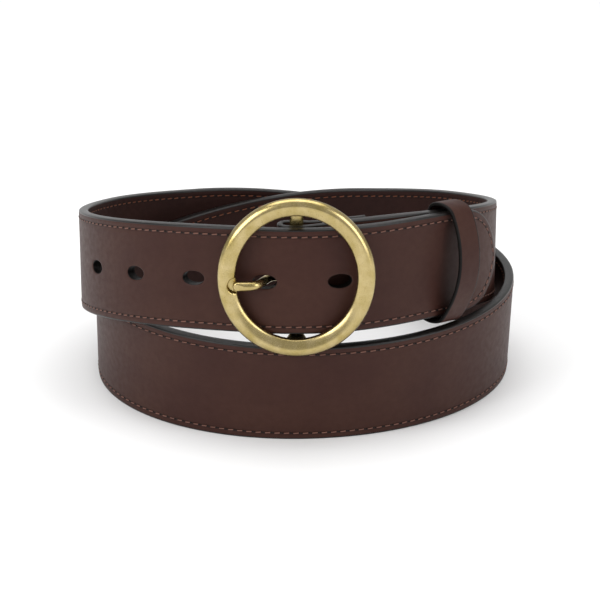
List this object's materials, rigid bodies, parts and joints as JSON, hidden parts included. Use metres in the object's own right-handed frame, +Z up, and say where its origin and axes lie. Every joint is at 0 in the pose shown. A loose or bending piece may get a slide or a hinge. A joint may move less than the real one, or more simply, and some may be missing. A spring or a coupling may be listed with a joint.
{
  "type": "leather dress belt",
  "caption": "Leather dress belt buckled into a coil and standing on its edge, with a round brass ring buckle with a prong and a sliding leather keeper.",
  "frame": {"origin": "on the coil's vertical axis, in the plane that the belt's lower edge rests on", "axes": "+Z up, along the coil's axis and across the strap; the buckle faces -Y; +X is to the right of someone who looks at the buckle"},
  "size_m": [0.1622, 0.1666, 0.0926],
  "materials": {
    "face_leather": "smooth dark brown, satin, with black painted edges",
    "lining_leather": "matte dark brown",
    "needle_thread": "waxed light brown thread",
    "bobbin_thread": "waxed orange brown thread",
    "brass": "antiqued satin brass",
    "steel_wire": "plain drawn wire"
  },
  "bodies": {
    "strap": {"strap_face": "face_leather", "strap_lining": "lining_leather", "needle_thread": "needle_thread", "bobbin_thread": "bobbin_thread", "rivet_posts": "brass", "rivet_caps": "brass"},
    "buckle": {"buckle_frame": "brass"},
    "prong": {"prong": "brass"},
    "keeper": {"keeper": "face_leather", "keeper_staples": "steel_wire"}
  },
  "joints": [
    {"name": "buckle_tilt", "type": "hinge", "parent": "strap", "child": "buckle", "pos_m": [0, -0.07305, 0.06185], "axis": [0, 0, 1], "range_deg": [-0.5, 1.5]},
    {"name": "prong_lift", "type": "hinge", "parent": "buckle", "child": "prong", "pos_m": [0, -0.07305, 0.06185], "axis": [0, 0, 1], "range_deg": [0, 4]},
    {"name": "keeper_slide", "type": "hinge", "parent": "strap", "child": "keeper", "pos_m": [0, 0, 0.0595], "axis": [0, 0, 1], "range_deg": [-2, 2]}
  ]
}
